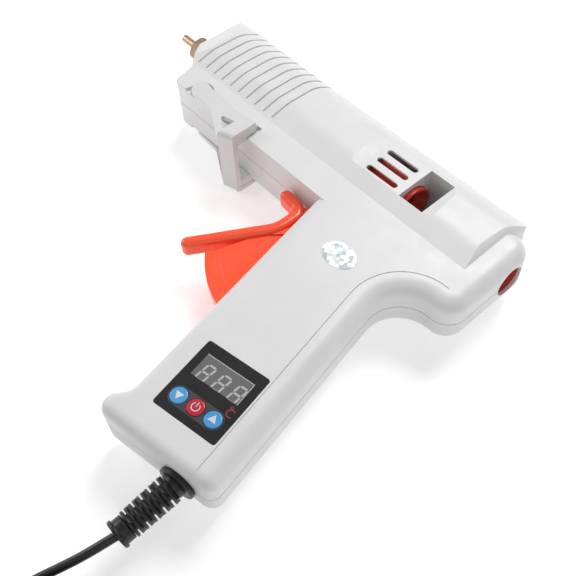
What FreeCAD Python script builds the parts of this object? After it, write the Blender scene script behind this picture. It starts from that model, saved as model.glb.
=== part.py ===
import FreeCAD
import Part
import Sketcher

import math
import os

# A trigger-fed hot-melt glue gun with a digital temperature panel, lying on its right side.
# Working frame: x = 0 on the rear face and negative towards the nozzle, y = 0 on the glue
# bore's axis and positive towards the top of the barrel, z = 0 on the mid-plane between the
# two shells and positive towards the gun's left side, which faces up.  Every sub-part is
# drawn in that frame and placed by one common shift, so that the origin ends up under the
# middle of the gun, on the surface that it lies on.

Vector = FreeCAD.Vector
Rotation = FreeCAD.Rotation
Placement = FreeCAD.Placement

doc = FreeCAD.newDocument("glue_gun")

# ------------------------------------------------------------------ driving dimensions (mm)

SIZES = {
    # common shift from the working frame to the row frame
    "shift_x": 111.2, "shift_y": 66.0, "shift_z": 18.2,
    # housing
    "wall": 2.2, "flat_half": 12.7, "barrel_half": 15.2, "nose_front": 204.0,
    "barrel_rear": 10.0, "barrel_top": 30.0, "barrel_rear_top": 28.1, "underside": 32.4, "crease_y": 17.5,
    "back_round": 6.4, "front_round": 4.8, "line_inset": 8.4, "seam": 0.3,
    "grip_back": 25.4, "grip_front": 24.3, "butt": 158.5,
    "rib_pitch": 6.2, "rib_first": 187.5, "rib_count": 10, "rib_depth": 0.7, "rib_width": 1.0,
    "inlet_hole": 7.25, "nose_hole": 7.2, "screw_radius": 1.5, "screw_head": 2.7,
    "screw_post": 3.5,
    # glue path
    "stick_bore": 5.9, "chamber_radius": 9.8, "chamber_front": 200.0, "chamber_rear": 134.0,
    "tip_length": 222.35, "tip_radius": 2.1, "nozzle_flats": 12.0, "tip_hole": 1.0,
    "sleeve_radius": 7.6, "sleeve_rear": 110.0, "guide_radius": 9.0, "guide_bore": 6.5,
    # feed mechanism
    "carriage_radius": 10.5, "carriage_front": 86.0, "carriage_rear": 54.5,
    "pivot_x": 61.5, "pivot_y": 47.5, "pin_radius": 2.0, "arm_length": 29.5,
    "sector_radius": 50.8, "rim_inner": 43.5, "web_half": 2.1, "rim_half": 2.8,
    "bar_thickness": 5.8, "bar_half": 4.3, "slot_half": 4.9,
    "jaw_x": 64.5, "jaw_y": 9.2, "jaw_half": 2.5,
    # stand
    "stand_x": 169.2, "stand_y": 27.5, "stand_half": 18.2, "stand_thick": 2.4,
    "arm_inner": 11.4, "arm_outer": 14.0,
    # control panel
    "panel_x": 37.3, "panel_y": 126.1, "panel_turn": 10.9, "panel_width": 29.5,
    "panel_height": 32.1, "panel_thick": 0.8, "window_width": 22.6, "window_height": 10.4,
    "button_radius": 3.5, "button_pitch": 8.2, "board_thick": 1.6, "board_top": 7.2,
    # mains lead
    "cord_radius": 1.8, "boot_radius": 6.0, "flange_radius": 7.8, "coil_turn_radius": 21.0,
}

sheet = doc.addObject("Spreadsheet::Sheet", "sizes")
for row, (alias, value) in enumerate(SIZES.items(), start=1):
    sheet.set(f"A{row}", alias)
    sheet.set(f"B{row}", str(value))
    sheet.setAlias(f"B{row}", alias)
doc.recompute()


def size(alias):
    """A driving dimension, read from the sheet."""
    return float(sheet.get(alias))


WALL = size("wall")
FLAT = size("flat_half")
SHIFT = Placement(Vector(size("shift_x"), size("shift_y"), size("shift_z")), Rotation())
TURN = {
    "XY": Rotation(),
    "XZ": Rotation(Vector(1, 0, 0), 90),
    "YZ": Rotation(Vector(1, 1, 1), 120),
}
nodes = {}

# ------------------------------------------------------------------ outlines and solids


def rounded(corners):
    """Curves of a closed outline through corners (u, v) or (u, v, radius)."""
    points = [Vector(c[0], c[1], 0) for c in corners]
    radii = [c[2] if len(c) > 2 else 0.0 for c in corners]
    starts, ends, arcs = [], [], []
    for i, corner in enumerate(points):
        before, after = points[i - 1], points[(i + 1) % len(points)]
        into = (before - corner).normalize()
        out = (after - corner).normalize()
        half = into.getAngle(out) / 2
        if radii[i] == 0 or half > math.pi / 2 - 1e-4:
            starts.append(corner)
            ends.append(corner)
            arcs.append(None)
            continue
        back = radii[i] / math.tan(half)
        first, last = corner + into * back, corner + out * back
        middle = corner + (into + out).normalize() * (radii[i] / math.sin(half) - radii[i])
        starts.append(first)
        ends.append(last)
        arcs.append(Part.Arc(first, middle, last))
    curves = []
    for i, arc in enumerate(arcs):
        if arc:
            curves.append(arc)
        nearest = starts[(i + 1) % len(points)]
        if (nearest - ends[i]).Length > 1e-6:
            curves.append(Part.LineSegment(ends[i], nearest))
    return curves


def face(corners):
    """A plane face with the outline that rounded() gives."""
    return Part.Face(Part.Wire([curve.toShape() for curve in rounded(corners)]))


def stand_up(shape, plane, low):
    """Turn a shape drawn on XY to another plane, low along that plane's normal."""
    shape.Placement = Placement(TURN[plane].multVec(Vector(0, 0, low)), TURN[plane])
    return shape


def prism(drawn, plane, low, high):
    """Extrude a face or corners drawn on a plane, between low and high on the axis across it."""
    flat = face(drawn) if isinstance(drawn, list) else drawn.copy()
    if plane == "XZ":
        low, high = -high, -low
    return stand_up(flat.extrude(Vector(0, 0, high - low)), plane, low)


def block(x0, x1, y0, y1, z0, z1):
    """A box between two corners."""
    return Part.makeBox(x1 - x0, y1 - y0, z1 - z0, Vector(x0, y0, z0))


def along_x(radius, x0, x1, y=0.0, z=0.0):
    """A cylinder along the barrel."""
    return Part.makeCylinder(radius, x1 - x0, Vector(x0, y, z), Vector(1, 0, 0))


def upright(radius, x, y, z0, z1):
    """A cylinder across the gun."""
    return Part.makeCylinder(radius, z1 - z0, Vector(x, y, z0), Vector(0, 0, 1))


def mirrored(shape):
    """The same shape on the other side of the mid-plane."""
    return shape.mirror(Vector(0, 0, 0), Vector(0, 0, 1))


def turned(points, x, y, angle):
    """Points (u, v, ...) turned by angle and moved to x, y."""
    c, s = math.cos(math.radians(angle)), math.sin(math.radians(angle))
    return [(x + p[0] * c - p[1] * s, y + p[0] * s + p[1] * c) + tuple(p[2:]) for p in points]


def keep(label, shape):
    """A sub-part whose shape Part's own functions made."""
    feature = doc.addObject("Part::Feature", label)
    feature.Label = label
    feature.Shape = shape
    feature.Placement = SHIFT.multiply(shape.Placement)
    nodes[label] = feature


# ------------------------------------------------------------------ housing

GRIP_TOP = Vector(-63, 0, 0)
FALL = math.radians(11.0)                       # the grip leans back by this much
DOWN = Vector(math.sin(FALL), -math.cos(FALL), 0)
REARWARD = Vector(math.cos(FALL), math.sin(FALL), 0)


def section_corners(ridge):
    """Cross-section of the upper barrel, y across and z up, with a crown that ends at ridge."""
    half = size("barrel_half")
    side = [(-size("crease_y") - 4, FLAT - 0.6), (-size("crease_y"), FLAT), (-6, half, 20),
            (12.5, half - 0.6, 19), (ridge - 5.8, 8.4, 16)]
    return side + [(ridge, 0, 8)] + [(c[0], -c[1]) + tuple(c[2:]) for c in reversed(side)]


def barrel(inset):
    """The upper barrel, inset by a wall: a tapered section cut by the side view and the plan."""
    front, half = size("nose_front"), size("barrel_half")
    crease = -size("crease_y") - 4
    rear_top, front_top = size("barrel_rear_top"), size("barrel_top")
    rear, mouth = -size("barrel_rear"), 8.2
    side = [(rear, crease), (rear, rear_top - 0.2, 10), (-190, front_top + 4),
            (-front + 4.5, 27, 7), (-front, 12, 9), (-front, -2, 9), (-189, -18, 3), (-186, crease)]
    plan = [(rear, half + 0.5, 8), (-188, half + 0.5, 9), (-front, mouth, 4),
            (-front, -mouth, 4), (-188, -half - 0.5, 9), (rear, -half - 0.5, 8)]
    stations = []
    for x, ridge in ((-230, front_top + 1.4), (-205, front_top + 0.8), (-135, rear_top + 0.6),
                     (10, rear_top)):
        station = face(section_corners(ridge))
        station = station.makeOffset2D(-inset) if inset else station
        stations.append(stand_up(station.OuterWire.copy(), "YZ", x))
    whole = Part.makeLoft(stations, True, True)
    for drawn, plane, low, high in ((face(side), "XY", -20, 20), (face(plan), "XZ", -40, 40)):
        drawn = drawn.makeOffset2D(-inset) if inset else drawn
        whole = whole.common(prism(drawn, plane, low, high))
    return whole.Solids[0]


def grip_point(along, across):
    """A point in the side view: along the grip from the bore axis, across it to the rear."""
    spot = GRIP_TOP + DOWN * along + REARWARD * across
    return (spot.x, spot.y)


def lower_outline():
    """Side view of the rear cap, grip, butt and lower barrel, as one closed outline."""
    low = -size("underside")
    grip_back, grip_front, butt = size("grip_back"), -size("grip_front"), size("butt")
    return [
        (-20, 14.2), (0, 14.2, 9), (0, -37.5, 9.5),
        grip_point(43.1, grip_back) + (16,), grip_point(butt, grip_back),
        grip_point(butt, -31.4) + (5.2,), grip_point(150.2, -29.6) + (5.2,),
        grip_point(145, grip_front) + (7,), grip_point(29, grip_front),
        (-184.5, low, 2.5), (-187.5, -18), (-186, -8), (-150, 4),
    ]


def lower_body(inset):
    """Rear cap, grip, butt and lower barrel, with rounded backs."""
    flat = face(lower_outline())
    if inset:
        flat = flat.makeOffset2D(-inset)
    half = FLAT - inset
    solid = prism(flat, "XY", -half, half)

    def rim(shape, wanted):
        return [e for e in shape.Edges if abs(abs(e.CenterOfMass.z) - half) < 0.01
                and e.BoundBox.ZLength < 0.01 and wanted(e)]

    def at_back(edge):
        spot = edge.CenterOfMass
        rel = spot - GRIP_TOP
        if spot.y > -size("underside") - 8:
            return spot.x > -19 and spot.y < 14
        return rel.dot(REARWARD) > 18 and rel.dot(DOWN) < 156

    def at_front(edge):
        rel = edge.CenterOfMass - GRIP_TOP
        return rel.dot(REARWARD) < -22 and 31 < rel.dot(DOWN) < 157

    for radius, wanted in ((size("back_round"), at_back), (size("front_round"), at_front)):
        solid = solid.makeFillet(radius - inset * 0.8, rim(solid, wanted))
    return solid.Solids[0]



def envelope(inset):
    """The whole housing's outside, inset by a wall."""
    return barrel(inset).fuse(lower_body(inset))


def ring(x0, x1, hole, low=-30.0, throat=0.0):
    """A wall across the barrel with a round hole, open below over twice the throat."""
    plate = block(x0, x1, low, 40, -20, 20).cut(along_x(hole, x0, x1))
    return plate.cut(block(x0, x1, low, -4, -throat, throat)) if throat else plate


SCREW_SPOTS = [(-192, 19.5), (-17, 18.3), (-152, -25.5), (-101, -26), (-36, -84),
               grip_point(150.5, -22.5)]
PANEL = (-size("panel_x"), -size("panel_y"))


def on_panel(points):
    """Points (across, up) of the control panel, moved to the grip."""
    return turned(points, PANEL[0], PANEL[1], size("panel_turn"))


def plate_corners(width, height, radius, up=0.0, across=0.0):
    """Corners of a rounded rectangle on the control panel."""
    w, h = width / 2, height / 2
    spots = [(across - w, up - h), (across + w, up - h), (across + w, up + h), (across - w, up + h)]
    return [p + (radius,) for p in on_panel(spots)]


WINDOW_UP = 6.1
BUTTON_UP = -8.6
BUTTONS = on_panel([(k * size("button_pitch") - 0.2, BUTTON_UP) for k in (-1, 0, 1)])
BOARD_SCREWS = on_panel([(-12.2, 15.4), (13.2, 15.4)])
PIVOT = Vector(-size("pivot_x"), -size("pivot_y"), 0)
CORD_ACROSS = 9.7
CLAMP_ALONG = 150.2
BOOT_START = Vector(*grip_point(158.5, CORD_ACROSS), 0)
BOOT_END = Vector(-23.2, -181.8, -3.2)


def inner_walls():
    """Everything that stands on the inside of the shells."""
    r = size("carriage_radius") + 0.25
    walls = [
        ring(-191.8, -190.0, size("chamber_radius") + 0.05),
        ring(-142, -140.2, size("chamber_radius") + 0.05, -13),
        ring(-112, -110.2, size("sleeve_radius") + 0.1, -15.5),
        ring(-92.5, -90.7, r, -13.5, 4.0),
        ring(-80.6, -79.2, r, -13.5, 4.0),
        ring(-58.2, -56.8, r, -13.5, 4.0),
        ring(-43.3, -41.6, size("guide_bore"), -22),
        ring(-26, -24.2, size("guide_radius") + 0.05, -22),
        block(-58.2, -41.6, 12.4, 13.9, -20, 20),
        along_x(11.4, -7, -1.5),
    ]
    for x, y in SCREW_SPOTS:
        walls.append(upright(size("screw_post"), x, y, -20, 20))
    for x, y in BOARD_SCREWS:
        walls.append(upright(2.2, x, y, size("board_top") + 0.05, 20))
    for across in (-5.5, 5.5):
        walls.append(upright(2.6, *grip_point(CLAMP_ALONG, CORD_ACROSS + across), -20, 1.8))
    walls.append(upright(2.4, *grip_point(CLAMP_ALONG, CORD_ACROSS), -20, -1.85))
    for side in (-1, 1):
        low, high = sorted((side * 8.3, side * 20))
        walls.append(upright(4.6, PIVOT.x, PIVOT.y, low, high))
        low, high = sorted((side * 6, side * 20))
        walls.append(upright(4.4, -size("stand_x"), -size("stand_y"), low, high))
    whole = walls[0]
    for wall in walls[1:]:
        whole = whole.fuse(wall)
    return whole


def slot_box(x0, x1, y, half, low, high):
    """A vent slot with round ends along the barrel."""
    return prism([(x0, y - half, half * 0.999), (x1, y - half, half * 0.999),
                  (x1, y + half, half * 0.999), (x0, y + half, half * 0.999)], "XY", low, high)


def openings():
    """What both shells leave open, as one list of cutters."""
    half = size("slot_half")
    cuts = [
        along_x(size("inlet_hole"), -8, 1),
        along_x(size("guide_radius") + 0.05, -30, -1.6),
        along_x(size("nose_hole"), -230, -199.5),
        Part.makeCone(7.25, size("chamber_radius") + 0.05, 8, Vector(-size("chamber_front") - 0.05),
                      Vector(1, 0, 0)),
        prism([(-84, -32.6), (-97, -60), (-82, -99.8), (-62, -99.8), (-58, -78), (-68, -40),
               (-74, -32.6)], "XY", -half, half),
        upright(size("pin_radius") + 0.03, PIVOT.x, PIVOT.y, -10.6, 10.6),
        upright(2.6, -size("stand_x"), -size("stand_y"), -20, 20),
        Part.makeCylinder(5.2, 12, BOOT_START - DOWN * 8, DOWN),
    ]
    stand_x, stand_y = -size("stand_x"), -size("stand_y")
    recess = [(stand_x, stand_y + 5.2), (stand_x + 5, -23.6), (-150, -25.0), (-128.8, -23.8),
              (-128.8, -50), (stand_x - 12, -50), (stand_x - 5.5, stand_y)]
    band = [(-87.4, 20), (-87.4, size("barrel_half") + 0.1), (-81.4, 13.7), (-43.3, 13.7),
            (-38, size("barrel_half") + 0.1), (-38, 20)]
    for side in (-1, 1):
        low, high = sorted((side * 11.2, side * 20))
        cuts.append(prism(recess, "XY", low, high))
        cuts.append(upright(5.7, stand_x, stand_y, low, high))
        cuts.append(prism([(x, side * z) for x, z in band], "XZ", -9, 40))
        low, high = sorted((side * 4, side * 20))
        for y in (7.4, 1.0, -5.7):
            cuts.append(slot_box(-78.2, -60.4, y, 1.5, low, high))
    return cuts


def surface_lines(outer):
    """Shallow grooves: the barrel's grip ribs, the seam and the line round the flat side."""
    groove = size("rib_depth")
    skin = barrel(0).cut(barrel(groove))
    lines = []
    for k in range(int(size("rib_count"))):
        x = -size("rib_first") + k * size("rib_pitch")
        lines.append(skin.common(block(x, x + size("rib_width"), -15.8, 40, -20, 20)))
    inner = barrel(size("seam")).fuse(lower_body(size("seam")))
    lines.append(block(-230, 10, -170, 40, -0.16, 0.16).cut(inner))
    flat = face(lower_outline())
    offset = size("line_inset")
    band = flat.makeOffset2D(-offset + 0.15).cut(flat.makeOffset2D(-offset - 0.15))
    rear = face([grip_point(100, 4), grip_point(52, 4), (-44, -30), (-30, -24), (-9.6, -24),
                 (-9.6, -60), grip_point(100, 30)])
    across = size("grip_back") - offset
    straight = face([grip_point(100, across - 0.15), grip_point(size("butt") + 1, across - 0.15),
                     grip_point(size("butt") + 1, across + 0.15), grip_point(100, across + 0.15)])
    band = band.common(rear).fuse(straight)
    for side in (-1, 1):
        z = side * FLAT
        piece = band.extrude(Vector(0, 0, 0.6))
        piece.translate(Vector(0, 0, z - 0.3))
        lines.append(piece)
    return lines


def shells():
    """Both housing halves."""
    outer, cavity = envelope(0), envelope(WALL)
    hollow = outer.cut(cavity)
    walls = inner_walls().common(envelope(0.8))
    body = hollow.fuse(walls)
    for cutter in openings() + surface_lines(outer):
        body = body.cut(cutter)
    left = body.common(block(-240, 20, -200, 60, 0, 30))
    right = body.common(block(-240, 20, -200, 60, -30, 0))
    left = left.cut(upright(2.8, *grip_point(CLAMP_ALONG, CORD_ACROSS - 5.5), -1, 6))
    left = left.cut(upright(2.8, *grip_point(CLAMP_ALONG, CORD_ACROSS + 5.5), -1, 6))
    left = left.cut(block(-56.6, -43.3, -8.8, 12.4, 2, 30))
    recess = size("panel_thick")
    left = left.cut(prism(plate_corners(size("panel_width") + 0.2, size("panel_height") + 0.2, 1.2),
                          "XY", FLAT - recess, FLAT + 3))
    left = left.cut(prism(plate_corners(size("window_width") + 0.4, size("window_height") + 0.4,
                                        0.4, WINDOW_UP), "XY", 9, 14))
    for x, y in BUTTONS:
        left = left.cut(upright(size("button_radius") + 0.12, x, y, 9, 14))
    for x, y in BOARD_SCREWS:
        left = left.cut(upright(1.02, x, y, 7, 9.7))
    for across in (-5.5, 5.5):
        x, y = grip_point(CLAMP_ALONG, CORD_ACROSS + across)
        right = right.cut(upright(1.22, x, y, -7, 2))
    for x, y in SCREW_SPOTS:
        left = left.cut(upright(size("screw_radius") + 0.02, x, y, -1, 8.5))
        right = right.cut(upright(size("screw_radius") + 0.15, x, y, -20, 1))
        right = right.cut(upright(size("screw_head") + 0.25, x, y, -20, -5.5))
    return left, right


def biggest(shape):
    """The largest solid of a shape that crumbs may have come off."""
    return max(shape.Solids, key=lambda solid: solid.Volume)


left_shell, right_shell = shells()
keep("left_shell", biggest(left_shell))
keep("right_shell", biggest(right_shell))


# ------------------------------------------------------------------ PartDesign pieces


class Piece:
    """A PartDesign body whose features follow one another, placed by the common shift."""

    def __init__(self, label):
        self.label = label
        self.body = doc.addObject("PartDesign::Body", label)
        self.body.Label = label
        self.count = 0
        nodes[label] = self.body

    def feature(self, kind, name):
        self.count += 1
        return self.body.newObject(kind, f"{self.label}_{name}_{self.count}")

    def sketch(self, plane, offset="0"):
        """An empty sketch on an origin plane, raised along its normal by an expression."""
        role = [f for f in self.body.Origin.OriginFeatures if f.Role == f"{plane}_Plane"][0]
        sketch = self.feature("Sketcher::SketchObject", "sketch")
        sketch.AttachmentSupport = [(role, "")]
        sketch.MapMode = "FlatFace"
        sketch.setExpression("AttachmentOffset.Base.z", offset)
        return sketch

    def outline(self, plane, corners, offset="0"):
        sketch = self.sketch(plane, offset)
        for curve in rounded(corners):
            sketch.addGeometry(curve, False)
        return sketch

    def circle(self, plane, spots, radius, offset="0"):
        """Circles of one bound radius at spots on a plane."""
        sketch = self.sketch(plane, offset)
        for x, y in spots:
            place = Part.Circle(Vector(x, y, 0), Vector(0, 0, 1), 1)
            index = sketch.addGeometry(place, False)
            constraint = sketch.addConstraint(Sketcher.Constraint("Radius", index, 1.0))
            sketch.setExpression(f"Constraints[{constraint}]", radius)
        return sketch

    def pad(self, sketch, length, reverse=False, middle=False):
        pad = self.feature("PartDesign::Pad", "pad")
        pad.Profile = sketch
        pad.setExpression("Length", length)
        pad.Reversed = reverse
        pad.SideType = "Symmetric" if middle else "One side"
        doc.recompute()
        return pad

    def pocket(self, sketch, length, reverse=False, middle=False):
        before = self.body.Shape.Volume
        pocket = self.feature("PartDesign::Pocket", "pocket")
        pocket.Profile = sketch
        pocket.setExpression("Length", length)
        pocket.Reversed = reverse
        pocket.SideType = "Symmetric" if middle else "One side"
        doc.recompute()
        assert self.body.Shape.Volume < before - 0.01, f"{self.label}: a pocket cuts nothing"
        return pocket

    def revolve(self, corners, cut=False):
        """Turn an outline drawn on the side view about the bore axis."""
        sketch = self.outline("XY", corners)
        turn = self.feature("PartDesign::Groove" if cut else "PartDesign::Revolution", "turn")
        turn.Profile = sketch
        turn.ReferenceAxis = (sketch, ["H_Axis"])
        turn.Angle = 360
        doc.recompute()
        return turn

    def fillet(self, radius, wanted):
        """Round the edges whose middle the test accepts."""
        base = self.body.Tip
        names = [f"Edge{i}" for i, edge in enumerate(base.Shape.Edges, start=1)
                 if wanted(edge.CenterOfMass, edge)]
        fillet = self.feature("PartDesign::Fillet", "fillet")
        fillet.Base = (base, names)
        fillet.setExpression("Radius", radius)
        doc.recompute()
        return fillet


def group(label, shapes):
    """Identical or paired solids that share one node."""
    keep(label, Part.makeCompound(shapes))


# ------------------------------------------------------------------ glue path


def nozzle():
    flats = size("nozzle_flats")
    tip, bore = size("tip_length"), size("tip_hole")
    piece = Piece("nozzle")
    corner = flats / math.sqrt(3)
    hexagon = [(corner * math.cos(math.radians(a)), corner * math.sin(math.radians(a)))
               for a in range(0, 360, 60)]
    piece.pad(piece.outline("YZ", hexagon, "-209.5"), "6.5")
    r = size("tip_radius")
    piece.revolve([(-tip, 0), (-tip, r, 0.8), (-210.4, r, 0.8), (-208.4, 5.0), (-208.4, 0)])
    piece.revolve([(-203.5, 0), (-203.5, 5.9), (-193, 5.9), (-193, 0)])
    piece.revolve([(-tip - 1, 0), (-tip - 1, bore), (-210.4, bore), (-207.2, 2.3), (-195.5, 2.3),
                   (-195.5, 3.4), (-192, 3.4), (-192, 0)], cut=True)
    cone = [(-210.5, 5.6), (-210.5, 9), (-207.5, 9), (-207.5, 7.5)]
    piece.revolve(cone, cut=True)


def check_valve():
    ball = Piece("check_ball")
    ball.revolve([(-199.8, 0), (-199.8, 2.0, 1.96), (-195.8, 2.0, 1.96), (-195.8, 0)])
    keep("check_spring", coil_spring(1.75, 0.22, -207.0, -200.2, 6))


def coil_spring(radius, wire, x0, x1, turns):
    """A helical spring about the bore axis, from x0 to x1 over its wire."""
    pitch = (x1 - x0 - 2 * wire) / turns
    helix = Part.makeHelix(pitch, pitch * turns, radius)
    profile = Part.Wire([Part.makeCircle(wire, Vector(radius, 0, 0), Vector(0, 1, 0))])
    spring = helix.makePipeShell([profile], True, True)
    spring.Placement = Placement(Vector(x0 + wire, 0, 0), Rotation(Vector(0, 1, 0), 90))
    return Part.Compound([spring]).Solids[0]


def melt_chamber():
    front, rear, r = size("chamber_front"), size("chamber_rear"), size("chamber_radius")
    bore = size("stick_bore")
    piece = Piece("melt_chamber")
    piece.revolve([(-front, 0), (-front, 7.2), (-front + 8, r), (-rear - 8, r),
                   (-rear - 8, 7.4), (-rear, 7.4), (-rear, 0)])
    piece.revolve([(-front - 1, 0), (-front - 1, 5.95), (-192.9, 5.95), (-192.9, 4.2), (-187, 4.2),
                   (-176, bore), (-rear + 1, bore), (-rear + 1, 0)], cut=True)
    # a box for the heater under the bore, cast in one with the chamber
    piece.pad(piece.outline("XZ", [(-183.5, -6.4), (-149, -6.4), (-149, 6.4), (-183.5, 6.4)], "7.5"),
              "13.5")
    piece.pocket(piece.outline("YZ", [(-19, -5.2), (-13, -5.2), (-13, 5.2), (-19, 5.2)], "-192"),
                 "44", reverse=True)
    piece.pocket(piece.circle("YZ", [(-10.3, 0)], "1.15", "-160"), "12", reverse=True)


def heater():
    plate = Piece("heater")
    plate.pad(plate.outline("XZ", [(-181, -4.2), (-153, -4.2), (-153, 4.2), (-181, 4.2)], "14.95"),
              "2.1")
    group("electrodes", [block(-182.5, -148, y, y + 0.5, -4.2, 4.2) for y in (-14.9, -17.6)])
    sleeve = block(-183, -149.5, -18.0, -14.0, -4.9, 4.9)
    keep("heater_film", sleeve.cut(block(-184, -149, -17.7, -14.3, -4.6, 4.6)))
    bead = Piece("thermistor")
    bead.revolve([(-159, 0), (-159, 1.1, 1.0), (-154.5, 1.1, 1.0), (-154.5, 0)])
    bead.body.setExpression(".Placement.Base.y", "sizes.shift_y - 10.3")


def inlet_sleeve():
    bore, r, rear = size("stick_bore") - 0.2, size("sleeve_radius"), size("sleeve_rear")
    piece = Piece("inlet_sleeve")
    piece.revolve([(-141.8, 7.45), (-141.8, 8.9), (-134, 8.9), (-131, r), (-rear, r),
                   (-rear, bore), (-133.8, bore), (-133.8, 7.45)])
    clamp = Piece("sleeve_clamp")
    clamp.revolve([(-139.4, 8.95), (-139.4, 9.7), (-136.4, 9.7), (-136.4, 8.95)])


def stick_guide():
    r, bore = size("guide_radius"), size("guide_bore")
    piece = Piece("stick_guide")
    piece.revolve([(-29, bore), (-29, r), (-27, r), (-1.65, r), (-1.65, bore + 0.7),
                   (-5, bore)])


# ------------------------------------------------------------------ feed mechanism


def feed_carriage():
    front, rear, r = size("carriage_front"), size("carriage_rear"), size("carriage_radius")
    bore = size("stick_bore") + 0.3
    piece = Piece("feed_carriage")
    piece.revolve([(-front, bore), (-front, r, 0.6), (-rear, r, 0.5), (-rear, r - 1.3),
                   (-rear - 5, bore)])
    piece.pocket(piece.outline("XZ", [(-76, -2.9), (-57.6, -2.9), (-57.6, 2.9), (-76, 2.9)], "4"),
                 "9", reverse=True)
    piece.pocket(piece.circle("XY", [(-size("jaw_x"), -size("jaw_y"))], "1.28", "-6"), "12",
                 reverse=True)


def gripper_jaw():
    tip_y = size("arm_length") - size("pivot_y")
    x = -size("pivot_x")
    piece = Piece("gripper_jaw")
    piece.pad(piece.outline("XY", [
        (-72, -7.7), (-70.4, -6.3), (-69.2, -7.2), (-68.2, -6.3), (-67, -7.2), (-66, -6.4),
        (-62, -7.4, 1), (-60.8, -12.2), (x + 6.6, -13.4, 1), (x + 6.6, tip_y - 1.2, 0.7),
        (x + 5.0, tip_y - 1.2, 0.7), (x + 5.0, -14.6, 1), (x - 3.0, -14.6, 1),
        (x - 3.0, tip_y - 6.2, 0.7), (x - 4.9, tip_y - 6.2, 0.9), (x - 6.0, -12, 2),
        (-72, -9.6)]), "2 * sizes.jaw_half", middle=True)
    piece.pocket(piece.circle("XY", [(-size("jaw_x"), -size("jaw_y"))], "1.3", "-5"), "10",
                 reverse=True)
    pin = Piece("jaw_pin")
    pin.pad(pin.circle("XY", [(-size("jaw_x"), -size("jaw_y"))], "1.25"), "9.6", middle=True)


def trigger():
    px, py, r = PIVOT.x, PIVOT.y, size("sector_radius")
    rim_in = size("rim_inner")

    def arc_points(radius, first, last, steps=1):
        return [(px + radius * math.cos(math.radians(a)), py + radius * math.sin(math.radians(a)))
                for a in (first, last)][:: steps]

    def sector(inner, outer, first, last, half):
        whole = upright(outer, px, py, -half, half).cut(upright(inner, px, py, -half, half))
        reach = 80
        wedge = face([(px, py)] + arc_points(reach, first, (first + last) / 2)
                     + arc_points(reach, last, last)[:1])
        return whole.common(prism(wedge, "XY", -half, half))

    half = size("bar_thickness") / 2
    path = [(-97.2, -37.2), (-85.3, -38.2), (-85.6, -52.6), (-106.3, -86.4)]
    bends = [0, 5.6, 14, 0]
    lane = Part.Wire([c.toShape() for c in open_path(path, bends)])
    band = lane.makeOffset2D(half, 0, False, False, False)
    bar = Part.Face(band).extrude(Vector(0, 0, 2 * size("bar_half")))
    bar.translate(Vector(0, 0, -size("bar_half")))
    bar = bar.makeFillet(2.3, [e for e in bar.Edges if e.BoundBox.ZLength < 0.01])
    web_half, rim_half = size("web_half"), size("rim_half")
    rim = sector(rim_in, r, -134, -92, rim_half)
    outline = [(-84.6, -35.2, 2), (-76, -33.8, 3), (-66, -41), (px + 4, py + 3), (px + 4, py - 4)]
    ends = arc_points(r - 1, -92, -134)
    web = prism(outline + [ends[0]] + arc_points(r - 1, -99, -106) + arc_points(r - 1, -113, -120)
                + arc_points(r - 1, -127, -134) + [(-86.6, -55), (-86, -43)], "XY",
                -web_half, web_half)
    top_rim = prism([(-86, -34.6), (-79.5, -33.2, 3), (-75.4, -38.5, 4), (-76.8, -48.5, 6),
                     (-88.3, -60.6), (-89.5, -58.4), (-81.8, -48.5, 5), (-80.4, -41, 3),
                     (-86, -39)], "XY", -rim_half, rim_half)
    hub = upright(5.2, px, py, -8, 8)
    tip = size("arm_length")
    arm = prism([(px - 3, py), (px + 3, py), (px + 2.6, py + tip), (px - 2.6, py + tip)], "XY",
                -2.4, 2.4)
    tip_round = upright(2.6, px, py + tip, -2.4, 2.4)
    whole = bar.fuse([rim, web, top_rim, hub, arm, tip_round]).removeSplitter()
    whole = whole.cut(upright(size("pin_radius") + 0.05, px, py, -9, 9))
    keep("trigger", whole.Solids[0])
    pin = Piece("trigger_pin")
    pin.pad(pin.circle("XY", [(px, py)], "sizes.pin_radius"), "20.8", middle=True)
    keep("return_spring", coil_spring(8.4, 0.45, -110.1, -size("carriage_front"), 6))


def open_path(points, radii):
    """Curves through points in line order, with an arc of the stated radius at each corner."""
    spots = [Vector(p[0], p[1], p[2] if len(p) > 2 else 0) for p in points]
    curves, start = [], spots[0]
    for i in range(1, len(spots) - 1):
        into = (spots[i - 1] - spots[i]).normalize()
        out = (spots[i + 1] - spots[i]).normalize()
        half = into.getAngle(out) / 2
        back = radii[i] / math.tan(half)
        first, last = spots[i] + into * back, spots[i] + out * back
        middle = spots[i] + (into + out).normalize() * (radii[i] / math.sin(half) - radii[i])
        curves += [Part.LineSegment(start, first), Part.Arc(first, middle, last)]
        start = last
    return curves + [Part.LineSegment(start, spots[-1])]


# ------------------------------------------------------------------ flip stand


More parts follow.
